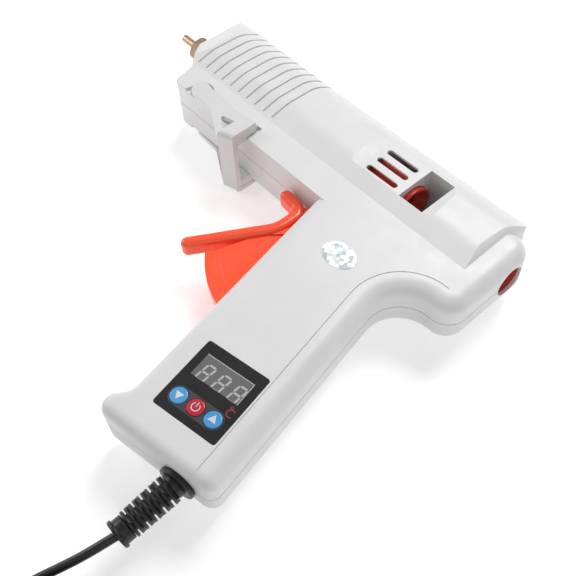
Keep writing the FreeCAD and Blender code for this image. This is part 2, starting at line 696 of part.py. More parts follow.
def stand():
    x, y = -size("stand_x"), -size("stand_y")
    low, high = size("arm_inner") + 0.1, size("arm_outer")
    wide, thick = size("stand_half"), size("stand_thick")
    outline = [(x - 1, y + 4.4, 3), (x + 4.5, y + 3.4, 4), (-150, -25.6), (-131, -24.4),
               (-131, -41), (-137.5, -43.6, 2), (-155, -33.6, 4), (x + 3, y - 5.2, 3),
               (x - 4.6, y - 4.6, 4), (x - 4.6, y + 2.5, 4)]
    window = [(-148.5, -32.6, 0.8), (-138.6, -30.2, 0.8), (-136.9, -39.4, 0.8)]
    arm = prism(outline, "XY", low, high).cut(prism(window, "XY", low, high))
    peg = upright(2.5, x, y, 6.5, low + 0.5)
    shape = arm.fuse(peg)
    shape = shape.fuse(mirrored(shape))
    across = [(-wide, -26.8), (-wide, -41.0, 2.5), (wide, -41.0, 2.5), (wide, -26.8),
              (wide - thick, -26.8), (wide - thick, -41.0 + thick, 1.2),
              (thick - wide, -41.0 + thick, 1.2), (thick - wide, -26.8)]
    strap = face([(v, u) + tuple(c[2:]) for c in across for u, v in [(c[0], c[1])]])
    strap.Placement = Placement(Vector(-129.2, 0, 0), TURN["YZ"])
    foot = strap.extrude(Vector(-7.6, -2.8, 0))
    shoulder = prism([(-136.5, low), (-129.4, low), (-129.4, wide - 0.5), (-132, wide - 0.5),
                      (-136.5, high)], "XZ", -41, -26.8)
    shape = shape.fuse([foot, shoulder, mirrored(shoulder)]).removeSplitter()
    keep("stand", shape.Solids[0])


# ------------------------------------------------------------------ control panel


def control_panel():
    thick = size("panel_thick")
    panel = Piece("panel_overlay")
    panel.pad(panel.outline("XY", plate_corners(size("panel_width"), size("panel_height"), 1.1),
                            "sizes.flat_half - sizes.panel_thick"),
              "sizes.panel_thick")
    hole = plate_corners(size("window_width"), size("window_height"), 0.3, WINDOW_UP)
    panel.pocket(panel.outline("XY", hole, "sizes.flat_half + 1"), "3")
    panel.pocket(panel.circle("XY", BUTTONS, "sizes.button_radius + 0.12",
                              "sizes.flat_half + 1"), "3")
    lens = Piece("display_lens")
    inner = plate_corners(size("window_width") - 0.1, size("window_height") - 0.1, 0.3, WINDOW_UP)
    lens.pad(lens.outline("XY", inner, f"{FLAT - thick + 0.05}"), f"{thick - 0.1}")
    display = Piece("led_display")
    display.pad(display.outline("XY", plate_corners(22.3, 10.1, 0.3, WINDOW_UP),
                                "sizes.board_top"), "4.6")
    board = Piece("circuit_board")
    board.pad(board.outline("XY", plate_corners(30, 38, 1, -1.2, 0.4),
                            "sizes.board_top - sizes.board_thick"),
              "sizes.board_thick")
    board.pocket(board.circle("XY", BOARD_SCREWS, "1.1", "sizes.board_top + 1"), "4")
    names = ("down_button", "power_button", "up_button")
    for name, spot in zip(names, BUTTONS):
        button = Piece(name)
        button.pad(button.circle("XY", [spot], "sizes.button_radius", "10.3"), "2.9")
        button.pad(button.circle("XY", [spot], "sizes.button_radius + 0.45", "9.95"), "0.45")
        button.fillet("0.5", lambda middle, edge: middle.z > 13.1)
    top = size("board_top")
    group("tact_switches", [upright(1.7, x, y, top + 2, 9.5).fuse(
        prism(turned([(-3, -3), (3, -3), (3, 3), (-3, 3)], x, y, size("panel_turn")), "XY",
              top, top + 2)) for x, y in BUTTONS])
    under = top - size("board_thick")

    def chip(across, up, width, height, depth):
        return prism(plate_corners(width, height, 0.3, up, across), "XY", under - depth, under)

    keep("power_switch", chip(-5, 11, 9.6, 9, 4.4))
    keep("film_capacitor", chip(6.4, 10, 12, 7, 6.5))
    keep("controller_chip", chip(-2, -4, 8, 8, 1.6))
    keep("terminal_block", chip(5, -14.4, 16, 6, 6.0))
    group("board_screws", [upright(1.9, x, y, under - 1.4, under).fuse(
        upright(1.0, x, y, under, top + 2.2)) for x, y in BOARD_SCREWS])
    sticker = Part.Ellipse(Vector(-51, -49, 0), 8.2, 6.0).toShape()
    badge = Part.Face(Part.Wire([sticker])).extrude(Vector(0, 0, 0.15))
    badge.translate(Vector(0, 0, FLAT))
    keep("inspection_sticker", badge)


# ------------------------------------------------------------------ wires and mains lead


def tube(points, radii, radius):
    """A round cord along straight runs joined by tangent arcs."""
    path = Part.Wire([curve.toShape() for curve in open_path(points, radii)])
    start = Vector(*points[0])
    way = (Vector(*points[1]) - start).normalize()
    profile = Part.Wire([Part.makeCircle(radius, start, way)])
    swept = path.makePipeShell([profile], True, True)
    swept = Part.Solid(swept) if swept.ShapeType == "Shell" else swept
    assert abs(swept.Volume / (math.pi * radius ** 2 * path.Length) - 1) < 0.02
    return swept


def arc_radii(points, name=None):
    """For each corner, 0.45 of the shorter run over the tangent of half the turn."""
    spots = [Vector(*p) for p in points]
    radii = [0.0]
    for before, here, after in zip(spots, spots[1:], spots[2:]):
        turn = (here - before).getAngle(after - here)
        shorter = min((here - before).Length, (after - here).Length)
        radii.append(0.45 * shorter / math.tan(turn / 2))
    if name:
        print(name, "bend radii", [round(r, 1) for r in radii[1:]])
    return radii


def grip_wire(along, across, z):
    return grip_point(along, across) + (z,)


def inner_wires():
    """Leads between the circuit board, the heater and the sensor."""
    heat, sense = [], []
    for k, z in enumerate((-5.6, -8.0)):
        route = [grip_wire(112, 9.5 + 2 * k, 4.8), grip_wire(99, 14.6 + 2 * k, 2.5),
                 grip_wire(82, 18, z), grip_wire(62, 17.4, z), (-41, -31, z), (-60, -24.5, z),
                 (-92, -19.8, z), (-128, -19.6, z), (-140, -18, -3.5 - k),
                 (-147.9, -17.3 + 2.4 * k, -2.6)]
        heat.append(tube(route, arc_radii(route), 0.7))
    for k, z in enumerate((5.6, 7.4)):
        route = [grip_wire(112, -2.5 + 1.5 * k, 5.1), grip_wire(104.5, 7 + 1.5 * k, 5.2),
                 grip_wire(94, 16.4, z), grip_wire(78, 18, z), grip_wire(60, 16.8, z),
                 (-42, -31.4, z), (-60, -24.5, z), (-92, -19.8, z), (-128, -19.2, z),
                 (-142.5, -15.2, 2.4 + k), (-147.3, -10.35, -0.5 + k), (-154.4, -10.3, -0.5 + k)]
        sense.append(tube(route, arc_radii(route), 0.42))
    group("heater_leads", heat)
    group("sensor_leads", sense)
    cores = [[grip_wire(148, CORD_ACROSS + a, 0), grip_wire(146.9, CORD_ACROSS + a, -0.2)]
             for a in (-0.9, 0.9)]
    group("mains_wires", [tube(route, [0.0], 0.75) for route in cores])


def strain_relief():
    """A rubber boot held in the butt, with the lead moulded through it."""
    axis = BOOT_END - BOOT_START
    flange = Part.makeCylinder(size("flange_radius"), 2.3, BOOT_START + DOWN * 0.05, DOWN)
    neck = Part.makeCylinder(5.1, 4, BOOT_START - DOWN * 3.9, DOWN)
    inner = Part.makeCylinder(6.6, 1.6, BOOT_START - DOWN * 3.95, DOWN)
    body = Part.makeCone(size("boot_radius"), size("boot_radius") - 1, axis.Length - 1.2,
                         BOOT_START + axis.normalize() * 1.2, axis)
    solid = flange.fuse([neck, inner, body])
    keep("strain_relief", solid.cut(lead_in_boot(size("cord_radius") + 0.02)))
    keep("lead_stub", lead_in_boot(size("cord_radius")))


def lead_in_boot(radius):
    """The lead's stretch from the clamp through the boot."""
    route = [tuple(BOOT_START - DOWN * 10.5), tuple(BOOT_START + DOWN * 0.5), tuple(BOOT_END)]
    return tube(route, arc_radii(route), radius)


def cord_clamp():
    """A bar that presses the lead on the right shell, and its two screws."""
    corners = [grip_point(CLAMP_ALONG + a, CORD_ACROSS + b) + (2.2,)
               for a, b in ((-2.4, -8.2), (2.4, -8.2), (2.4, 8.2), (-2.4, 8.2))]
    spots = [grip_point(CLAMP_ALONG, CORD_ACROSS + b) for b in (-5.5, 5.5)]
    bar = Piece("cord_clamp")
    bar.pad(bar.outline("XY", corners, "1.85"), "2.2")
    bar.pocket(bar.circle("XY", spots, "1.3", "5"), "4")
    group("clamp_screws", [upright(2.1, x, y, 4.05, 5.4).fuse(upright(1.2, x, y, -6, 4.05))
                           for x, y in spots])


COIL = Vector(-10, -233, 0)
TABLE = -size("shift_z")
PLUG_TURN = 48.0
CORD_ROUTE = [(-23.2, -181.8, -3.2), (-25.6, -192.0, -5.6), (-30.0, -202.4, -10.2),
              (-34.4, -211.5, -14.4), (-36.6, -222.0, -16.4), (-34.6, -233.0, -16.4)]
TAIL_ROUTE = [(8.2, -249.6, -5.6), (13.2, -243.9, -5.6), (18.4, -237.9, -8.6),
              (21.6, -232.0, -11.3)]


def mains_lead():
    radius = size("cord_radius")
    keep("power_cord", tube(CORD_ROUTE, arc_radii(CORD_ROUTE, "power_cord"), radius))
    keep("plug_tail", tube(TAIL_ROUTE, arc_radii(TAIL_ROUTE, "plug_tail"), radius))
    middle, pitch = size("coil_turn_radius"), 2 * radius
    inner, outer = middle - 1.5 * pitch, middle + 1.5 * pitch
    coil = upright(outer, COIL.x, COIL.y, TABLE, TABLE + 4 * pitch)
    coil = coil.cut(upright(inner, COIL.x, COIL.y, TABLE, TABLE + 4 * pitch))
    keep("cord_coil", coil)
    tie = block(inner - 0.6, outer + 0.6, -3, 3, TABLE, TABLE + 4 * pitch + 0.6)
    tie = tie.cut(block(inner - 0.1, outer + 0.1, -4, 4, TABLE + 0.5, TABLE + 4 * pitch + 0.1))
    tie.rotate(Vector(0, 0, 0), Vector(0, 0, 1), 120)
    tie.translate(COIL)
    keep("cord_tie", tie.Solids[0])


def plug():
    """A flat two-pin plug, drawn along x from the cord's end and then laid beside the coil."""
    thick, wide, length = 13.7, 35.3, 37.0
    outline = [(0, -3.6, 2), (13, -5, 6), (19, -wide / 2, 4), (length, -wide / 2, 1.5),
               (length, wide / 2, 1.5), (19, wide / 2, 4), (13, 5, 6), (0, 3.6, 2)]
    profile = [(0, -3.4, 2), (11, -4.4, 10), (20, -thick / 2, 10), (length, -thick / 2, 1.5),
               (length, thick / 2, 1.5), (20, thick / 2, 10), (11, 4.4, 10), (0, 3.4, 2)]
    body = prism(outline, "XY", -10, 10).common(prism(profile, "XZ", -30, 30))
    bore = along_x(size("cord_radius") + 0.02, -1, 8)
    pins = [along_x(2.0, length, length + 19, y) for y in (-9.5, 9.5)]
    pins = [p.makeFillet(1.2, [e for e in p.Edges if e.CenterOfMass.x > length + 18.9])
            for p in pins]
    pins = [p.fuse(along_x(1.5, length - 6, length, y)) for p, y in zip(pins, (-9.5, 9.5))]
    holes = [along_x(1.52, length - 6, length + 1, y) for y in (-9.5, 9.5)]
    body = body.cut(bore)
    for hole in holes:
        body = body.cut(hole)
    end = Vector(*TAIL_ROUTE[-1])
    way = Vector(math.cos(math.radians(PLUG_TURN)), math.sin(math.radians(PLUG_TURN)), 0)
    for shape in [body] + pins:
        shape.rotate(Vector(0, 0, 0), Vector(0, 0, 1), PLUG_TURN)
        shape.translate(Vector(end.x, end.y, TABLE + thick / 2) - way * 1.5)
    keep("plug_body", body.Solids[0])
    group("plug_pins", [p.Solids[0] for p in pins])


def shell_screws():
    screws = []
    for x, y in SCREW_SPOTS:
        r = size("screw_radius")
        screw = upright(size("screw_head"), x, y, -7.6, -5.5).fuse(upright(r, x, y, -5.5, 7.5))
        cross = block(x - 1.8, x + 1.8, y - 0.35, y + 0.35, -8, -6.6)
        screws.append(screw.cut(cross.fuse(block(x - 0.35, x + 0.35, y - 1.8, y + 1.8, -8, -6.6))))
    group("shell_screws", screws)


# ------------------------------------------------------------------ build and write

for make in (nozzle, check_valve, melt_chamber, heater, inlet_sleeve, stick_guide,
             feed_carriage, gripper_jaw, trigger, stand, control_panel, inner_wires,
             strain_relief, cord_clamp, mains_lead, plug, shell_screws):
    make()

for node in nodes.values():
    if node.TypeId == "PartDesign::Body":
        driven = [path for path, text in node.ExpressionEngine]
        for axis in "xyz":
            if f".Placement.Base.{axis}" not in driven:
                node.setExpression(f".Placement.Base.{axis}", f"sizes.shift_{axis}")
doc.recompute()

for thing in doc.Objects:
    assert not {"Invalid", "Error"} & set(thing.State), f"{thing.Label} failed"
for label, node in nodes.items():
    assert not node.Shape.isNull() and node.Shape.isValid(), f"{label} has no valid shape"

os.makedirs("parts", exist_ok=True)
for label, node in nodes.items():
    node.Shape.exportStep(f"parts/{label}.step")
    bounds = node.Shape.BoundBox
    print(f"{label:20s} {len(node.Shape.Solids)} solid  {node.Shape.Volume:9.1f} mm3  "
          f"x {bounds.XMin:7.1f} {bounds.XMax:7.1f}  y {bounds.YMin:7.1f} {bounds.YMax:7.1f}  "
          f"z {bounds.ZMin:6.1f} {bounds.ZMax:6.1f}")
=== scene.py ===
import math

import bmesh
import bpy
from mathutils import Matrix, Vector


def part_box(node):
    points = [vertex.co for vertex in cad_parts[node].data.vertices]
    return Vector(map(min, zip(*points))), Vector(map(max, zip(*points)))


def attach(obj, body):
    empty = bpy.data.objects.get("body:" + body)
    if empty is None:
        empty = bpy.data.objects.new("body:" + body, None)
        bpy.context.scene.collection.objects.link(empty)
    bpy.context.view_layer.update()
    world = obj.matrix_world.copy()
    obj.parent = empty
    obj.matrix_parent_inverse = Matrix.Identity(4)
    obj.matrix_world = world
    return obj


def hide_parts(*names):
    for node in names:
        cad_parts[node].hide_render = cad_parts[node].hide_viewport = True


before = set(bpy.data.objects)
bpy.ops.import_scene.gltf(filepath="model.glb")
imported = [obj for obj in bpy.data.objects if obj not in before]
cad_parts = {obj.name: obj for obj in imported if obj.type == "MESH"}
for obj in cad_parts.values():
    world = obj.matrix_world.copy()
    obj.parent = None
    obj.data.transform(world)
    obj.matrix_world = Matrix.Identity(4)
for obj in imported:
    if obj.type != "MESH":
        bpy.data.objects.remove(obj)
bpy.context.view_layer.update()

MM = 0.001
SHIFT = Vector((111.2, 66.0, 18.2))     # from the gun's working frame to the row frame, in mm


def at(x, y, z):
    """A point of the working frame (mm, x from the rear face, y from the bore) in the row frame."""
    return (Vector((x, y, z)) + SHIFT) * MM


# ------------------------------------------------------------------ camera, floor and lights

AZIMUTH, ELEVATION, ROLL = (math.radians(angle) for angle in (50.95, 54.26, -3.13))
TARGET = at(-59.97, -69.42, 0)
DISTANCE = 0.3326


def camera():
    right = Vector((math.cos(AZIMUTH), math.sin(AZIMUTH), 0))
    up = Vector((-math.sin(AZIMUTH) * math.sin(ELEVATION),
                 math.cos(AZIMUTH) * math.sin(ELEVATION), math.cos(ELEVATION)))
    back = right.cross(up)
    across = right * math.cos(ROLL) + up * math.sin(ROLL)
    upright = up * math.cos(ROLL) - right * math.sin(ROLL)
    place = Matrix((across, upright, back)).transposed().to_4x4()
    place.translation = TARGET + back * DISTANCE
    data = bpy.data.cameras.new("camera")
    data.lens, data.sensor_width = 50, 36
    data.clip_start = 0.01
    made = bpy.data.objects.new("camera", data)
    made.matrix_world = place
    bpy.context.scene.collection.objects.link(made)
    bpy.context.scene.camera = made


def soft_light(name, place, width, power):
    """A square light at place, turned to the gun."""
    data = bpy.data.lights.new(name, "AREA")
    data.shape, data.size, data.energy = "SQUARE", width, power
    made = bpy.data.objects.new(name, data)
    made.location = place
    aim = TARGET - Vector(place)
    made.rotation_euler = aim.to_track_quat("-Z", "Y").to_euler()
    bpy.context.scene.collection.objects.link(made)


WORLD_STRENGTH = 0.42
FLOOR_REACH, FLOOR_LEVEL, FLOOR_GLOW = 3.0, -0.0002, 0.33


def surroundings():
    bpy.context.scene.view_settings.view_transform = "Standard"
    world = bpy.data.worlds.new("studio")
    world.use_nodes = True
    world.node_tree.nodes["Background"].inputs["Color"].default_value = (1, 1, 1, 1)
    world.node_tree.nodes["Background"].inputs["Strength"].default_value = WORLD_STRENGTH
    bpy.context.scene.world = world
    soft_light("key", (-0.15, 0.75, 0.95), 0.6, 9.2)
    soft_light("fill", (0.85, -0.55, 0.7), 0.9, 1.3)
    soft_light("side", (-0.9, -0.35, 0.6), 0.6, 3.0)
    mesh = bpy.data.meshes.new("floor")
    corners = [(x * FLOOR_REACH, y * FLOOR_REACH, FLOOR_LEVEL)
               for x, y in ((-1, -1), (1, -1), (1, 1), (-1, 1))]
    mesh.from_pydata(corners, [], [(0, 1, 2, 3)])
    floor = bpy.data.objects.new("floor", mesh)
    bpy.context.scene.collection.objects.link(floor)
    pale = bpy.data.materials.new("pale_floor")
    pale.use_nodes = True
    shader = pale.node_tree.nodes["Principled BSDF"]
    shader.inputs["Base Color"].default_value = (0.92, 0.92, 0.92, 1)
    shader.inputs["Roughness"].default_value = 0.9
    shader.inputs["Emission Color"].default_value = (1, 1, 1, 1)
    shader.inputs["Emission Strength"].default_value = FLOOR_GLOW
    mesh.materials.append(pale)


# ------------------------------------------------------------------ materials


class Material:
    """A Principled material whose colour, roughness and bump come from procedural nodes."""

    def __init__(self, name, metallic=0.0, **shader):
        self.made = bpy.data.materials.new(name)
        self.made.use_nodes = True
        self.tree = self.made.node_tree
        self.shader = self.tree.nodes["Principled BSDF"]
        self.shader.inputs["Metallic"].default_value = metallic
        for label, value in shader.items():
            self.shader.inputs[label.replace("_", " ")].default_value = value
        self.place = self.node("ShaderNodeTexCoord").outputs["Object"]
        self.bump_from = None

    def node(self, kind, **settings):
        made = self.tree.nodes.new(kind)
        for label, value in settings.items():
            setattr(made, label, value)
        return made

    def link(self, start, end):
        self.tree.links.new(start, end)

    def noise(self, scale, detail=2.0, stretch=(1, 1, 1)):
        """Noise in the row frame, whose grain is 1/scale metres."""
        noise = self.node("ShaderNodeTexNoise")
        noise.inputs["Scale"].default_value = scale
        noise.inputs["Detail"].default_value = detail
        source = self.place
        if stretch != (1, 1, 1):
            mapping = self.node("ShaderNodeMapping")
            mapping.inputs["Scale"].default_value = stretch
            self.link(source, mapping.inputs["Vector"])
            source = mapping.outputs["Vector"]
        self.link(source, noise.inputs["Vector"])
        return noise.outputs["Fac"]

    def ramp(self, source, stops):
        """A colour ramp over stops of (position, colour)."""
        ramp = self.node("ShaderNodeValToRGB")
        band = ramp.color_ramp
        while len(band.elements) < len(stops):
            band.elements.new(0.5)
        for element, (position, colour) in zip(band.elements, stops):
            element.position = position
            element.color = (*colour, 1)
        self.link(source, ramp.inputs["Fac"])
        return ramp.outputs["Color"]

    def colour(self, low, high, scale, detail=3.0, stretch=(1, 1, 1)):
        source = self.noise(scale, detail, stretch)
        self.link(self.ramp(source, [(0.3, low), (0.7, high)]), self.shader.inputs["Base Color"])
        return self

    def roughness(self, low, high, scale, stretch=(1, 1, 1)):
        span = self.node("ShaderNodeMapRange")
        span.inputs["From Min"].default_value = 0.3
        span.inputs["From Max"].default_value = 0.7
        span.inputs["To Min"].default_value = low
        span.inputs["To Max"].default_value = high
        self.link(self.noise(scale, 3.0, stretch), span.inputs["Value"])
        self.link(span.outputs["Result"], self.shader.inputs["Roughness"])
        return self

    def bump(self, scale, depth, strength=1.0, stretch=(1, 1, 1), detail=2.0):
        """Relief of a depth in metres, on top of any that is there."""
        bump = self.node("ShaderNodeBump")
        bump.inputs["Strength"].default_value = strength
        bump.inputs["Distance"].default_value = depth
        self.link(self.noise(scale, detail, stretch), bump.inputs["Height"])
        if self.bump_from:
            self.link(self.bump_from, bump.inputs["Normal"])
        self.bump_from = bump.outputs["Normal"]
        self.link(self.bump_from, self.shader.inputs["Normal"])
        return self

    def soft_edges(self, radius):
        """Edges that catch the light as a moulded piece's do."""
        bevel = self.node("ShaderNodeBevel", samples=4)
        bevel.inputs["Radius"].default_value = radius
        self.bump_from = bevel.outputs["Normal"]
        self.link(self.bump_from, self.shader.inputs["Normal"])
        return self


PLASTIC_EDGE, PLASTIC_GRAIN = 0.00035, 2600
FINE_EDGE = 0.0002


def moulded(name, low, high, rough, depth=0.00003, **shader):
    """Moulded plastic with a faint mottle, an uneven gloss and a fine grain."""
    made = Material(name, **shader).soft_edges(PLASTIC_EDGE)
    made.colour(low, high, 38).roughness(rough - 0.06, rough + 0.06, 130)
    made.bump(260, depth * 1.4, 0.35).bump(PLASTIC_GRAIN, depth, 0.5)
    return made.made


def metal(name, low, high, rough, stretch=(1, 1, 1), **shader):
    """Machined or drawn metal with faint tool marks along one way."""
    made = Material(name, metallic=1.0, **shader).soft_edges(FINE_EDGE)
    made.colour(low, high, 160, 4.0, stretch).roughness(rough - 0.08, rough + 0.1, 420, stretch)
    made.bump(1500, 0.00002, 0.5, stretch)
    return made.made


def rubber(name, low, high, rough):
    made = Material(name).soft_edges(FINE_EDGE)
    made.colour(low, high, 90).roughness(rough - 0.07, rough + 0.08, 300)
    made.bump(3200, 0.00003, 0.4)
    return made.made


def sticker_foil():
    """Silver film in small diamonds that each catch the light in their own way."""
    made = Material("sticker_foil", metallic=0.35, Coat_Weight=0.4)
    mapping = made.node("ShaderNodeMapping")
    mapping.inputs["Rotation"].default_value = (0, 0, math.radians(56))
    made.link(made.place, mapping.inputs["Vector"])
    facets = made.node("ShaderNodeTexVoronoi", distance="CHEBYCHEV")
    facets.inputs["Scale"].default_value = 560
    facets.inputs["Randomness"].default_value = 0.55
    made.link(mapping.outputs["Vector"], facets.inputs["Vector"])
    stops = [(0.22, (0.36, 0.41, 0.43)), (0.42, (0.60, 0.66, 0.66)), (0.55, (0.78, 0.75, 0.84)),
             (0.66, (0.93, 0.97, 0.96)), (0.8, (1.0, 1.0, 1.0))]
    made.link(made.ramp(facets.outputs["Color"], stops), made.shader.inputs["Base Color"])
    made.roughness(0.25, 0.45, 900)
    made.bump(900, 0.00002, 0.4)
    return made.made


def circuit_mask():
    made = Material("circuit_mask").soft_edges(0.0001)
    made.colour((0.01, 0.09, 0.03), (0.02, 0.15, 0.05), 500, 0.0).roughness(0.3, 0.5, 200)
    made.bump(700, 0.00003, 0.5, detail=0.0)
    return made.made


FINISH = {
    "shell": moulded("shell_plastic", (0.690, 0.686, 0.688), (0.728, 0.724, 0.726), 0.40),
    "orange": moulded("orange_plastic", (0.50, 0.030, 0.012), (0.58, 0.040, 0.016), 0.30),
    "trigger": moulded("trigger_plastic", (1.00, 0.080, 0.022), (1.00, 0.105, 0.032), 0.24,
                       Coat_Weight=0.25, Subsurface_Weight=0.06, Subsurface_Scale=0.004),
    "stand": moulded("stand_plastic", (0.66, 0.655, 0.66), (0.70, 0.695, 0.70), 0.34),
    "panel": moulded("panel_gloss", (0.004, 0.004, 0.005), (0.009, 0.009, 0.010), 0.12,
                     depth=0.00001, Coat_Weight=0.6),
    "window": moulded("window_smoke", (0.125, 0.126, 0.129), (0.155, 0.156, 0.159), 0.12,
                      depth=0.00001, Coat_Weight=0.8),
    # this grey serves the unlit digits and also the painted highlight along the window's edges
    "segment": moulded("segment_and_highlight_grey", (0.42, 0.42, 0.42), (0.50, 0.50, 0.50), 0.28,
                       depth=0.00001),
    # painted reflection: the pale grey of the band round the buttons, where the gloss panel shows a
    # reflection
    "painted_reflection": moulded("panel_painted_reflection", (0.055, 0.056, 0.058), (0.080, 0.081, 0.083), 0.22,
                    depth=0.00001),
    "red_print": moulded("red_print", (0.38, 0.035, 0.060), (0.45, 0.050, 0.080), 0.35),
    "white_print": moulded("white_print", (0.66, 0.66, 0.71), (0.74, 0.73, 0.77), 0.35),
    "blue": moulded("button_blue", (0.055, 0.32, 0.66), (0.085, 0.40, 0.74), 0.22,
                    Coat_Weight=0.5),
    "red": moulded("button_red", (0.50, 0.008, 0.030), (0.62, 0.016, 0.045), 0.24,
                   Coat_Weight=0.5),
    "black": moulded("black_plastic", (0.010, 0.010, 0.011), (0.022, 0.022, 0.024), 0.42),
    "dark": moulded("dark_plastic", (0.02, 0.02, 0.022), (0.04, 0.04, 0.042), 0.5),
    "yellow": moulded("capacitor_case", (0.50, 0.33, 0.03), (0.60, 0.40, 0.05), 0.4),
    "green": moulded("terminal_case", (0.02, 0.16, 0.05), (0.03, 0.22, 0.07), 0.4),
    "board": circuit_mask(),
    "ceramic": moulded("fired_ceramic", (0.60, 0.58, 0.52), (0.72, 0.70, 0.64), 0.6),
    "film": moulded("amber_film", (0.45, 0.17, 0.02), (0.58, 0.25, 0.04), 0.2),
    "silicone": rubber("red_silicone", (0.42, 0.035, 0.018), (0.52, 0.05, 0.025), 0.42),
    "rubber": rubber("black_rubber", (0.003, 0.003, 0.003), (0.008, 0.008, 0.008), 0.34),
    "cord": rubber("cord_jacket", (0.007, 0.007, 0.007), (0.013, 0.013, 0.014), 0.30),
    "wire": rubber("white_insulation", (0.62, 0.60, 0.55), (0.74, 0.72, 0.68), 0.4),
    "red_wire": rubber("red_insulation", (0.40, 0.05, 0.03), (0.52, 0.08, 0.05), 0.4),
    "brass": metal("warm_brass", (0.52, 0.34, 0.22), (0.66, 0.46, 0.32), 0.34, (6, 1, 1)),
    "cast": metal("cast_metal", (0.38, 0.38, 0.39), (0.52, 0.52, 0.53), 0.46),
    "steel": metal("drawn_steel", (0.46, 0.46, 0.47), (0.62, 0.62, 0.64), 0.3, (1, 5, 1)),
    "nickel": metal("nickel_plate", (0.62, 0.61, 0.58), (0.74, 0.73, 0.70), 0.18, (1, 1, 4)),
    "foil": sticker_foil(),
}

CAD_FINISH = {
    "shell": ["left_shell", "right_shell"],
    "orange": ["stick_guide", "feed_carriage"],
    "trigger": ["trigger"],
    "stand": ["stand"],
    "panel": ["panel_overlay"],
    "window": ["display_lens"],
    "blue": ["down_button", "up_button"],
    "red": ["power_button"],
    "black": ["plug_body", "cord_clamp", "tact_switches", "led_display"],
    "dark": ["power_switch", "controller_chip"],
    "yellow": ["film_capacitor"],
    "green": ["terminal_block"],
    "board": ["circuit_board"],
    "ceramic": ["heater", "thermistor"],
    "film": ["heater_film"],
    "silicone": ["inlet_sleeve"],
    "cord": ["lead_stub"],
    "wire": ["heater_leads", "mains_wires"],
    "red_wire": ["sensor_leads"],
    "brass": ["nozzle"],
    "cast": ["melt_chamber", "electrodes"],
    "steel": ["check_ball", "check_spring", "sleeve_clamp", "trigger_pin", "jaw_pin",
              "return_spring", "board_screws", "clamp_screws", "shell_screws", "gripper_jaw"],
    "nickel": ["plug_pins"],
    "foil": ["inspection_sticker"],
}


def finish_cad_nodes():
    for finish, labels in CAD_FINISH.items():
        for label in labels:
            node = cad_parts[label]
            node.data.materials.clear()
            node.data.materials.append(FINISH[finish])


# ------------------------------------------------------------------ making pieces


def piece(name, mesh_or_bm, finish, body, replaces=(), smooth=True):
    """An object of the gun from a bmesh, with its finish, that rides on a body."""
    mesh = bpy.data.meshes.new(name)
    bmesh.ops.recalc_face_normals(mesh_or_bm, faces=mesh_or_bm.faces)
    mesh_or_bm.to_mesh(mesh)
    mesh_or_bm.free()
    if smooth:
        mesh.shade_smooth()
        mesh.set_sharp_from_angle(angle=math.radians(40))
    mesh.materials.append(FINISH[finish])
    made = bpy.data.objects.new(name, mesh)
    bpy.context.scene.collection.objects.link(made)
    if replaces:
        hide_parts(*replaces)
    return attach(made, body)


def lathe(bm, profile, start, way, steps=48):
    """Turn a closed profile of (along, radius) about an axis."""
    way = way.normalized()
    side = way.orthogonal().normalized()
    other = way.cross(side)
    rings = []
    for k in range(steps):
        angle = 2 * math.pi * k / steps
        out = side * math.cos(angle) + other * math.sin(angle)
        rings.append([bm.verts.new(start + way * along + out * radius)
                      for along, radius in profile])
    for k in range(steps):
        here, there = rings[k], rings[(k + 1) % steps]
        for i in range(len(profile)):
            j = (i + 1) % len(profile)
            bm.faces.new((here[i], here[j], there[j], there[i]))


def rounded_profile(inner, outer, low, high, rounding, steps=4):
    """A closed lathe profile of a ring with round outer corners."""
    points = [(low, inner)]
    for centre, first in ((low + rounding, 180), (high - rounding, 90)):
        for k in range(steps + 1):
            angle = math.radians(first - 90 * k / steps)
            points.append((centre + rounding * math.cos(angle),
                           outer - rounding + rounding * math.sin(angle)))
    return points + [(high, inner)]


def slab(bm, outline, low, high):
    """A plate between two heights, from a closed outline of points (x, y)."""
    bottom = [bm.verts.new((x, y, low)) for x, y in outline]
    top = [bm.verts.new((x, y, high)) for x, y in outline]
    count = len(outline)
    bm.faces.new(bottom[::-1])
    bm.faces.new(top)
    for i in range(count):
        j = (i + 1) % count
        bm.faces.new((bottom[i], bottom[j], top[j], top[i]))


# ------------------------------------------------------------------ control panel

PANEL_TURN = math.radians(10.9)
PANEL_ACROSS = Vector((math.cos(PANEL_TURN), math.sin(PANEL_TURN), 0))
PANEL_UP = Vector((-math.sin(PANEL_TURN), math.cos(PANEL_TURN), 0))
PANEL_CENTRE = at(-37.3, -126.1, 0)
PANEL_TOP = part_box("panel_overlay")[1].z
LENS_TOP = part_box("display_lens")[1].z
WINDOW_UP = 6.1
DIGITS_UP = WINDOW_UP - 1.9             # the window's lower edge hides the digits' feet


def panel_points(points, across=0.0, up=0.0, turn=0.0):
    """Points (mm) of a mark on the panel, in the row frame."""
    cos, sin = math.cos(turn), math.sin(turn)
    spots = []
    for x, y in points:
        u, v = across + x * cos - y * sin, up + x * sin + y * cos
        spot = PANEL_CENTRE + (PANEL_ACROSS * u + PANEL_UP * v) * MM
        spots.append((spot.x, spot.y))
    return spots


def segments():
    """The bars of one seven-segment digit that is 1 wide between its stems and 2 tall."""
    bar, gap = 0.13, 0.04

    def lying(y):
        return [(-0.5 + gap, y), (-0.5 + gap + bar, y + bar), (0.5 - gap - bar, y + bar),
                (0.5 - gap, y), (0.5 - gap - bar, y - bar), (-0.5 + gap + bar, y - bar)]

    def standing(x, y):
        return [(x, y - 0.5 + gap), (x + bar, y - 0.5 + gap + bar), (x + bar, y + 0.5 - gap - bar),
                (x, y + 0.5 - gap), (x - bar, y + 0.5 - gap - bar), (x - bar, y - 0.5 + gap + bar)]

    return [lying(y) for y in (-1, 0, 1)] + [standing(x, y) for x in (-0.5, 0.5)
                                             for y in (-0.5, 0.5)]


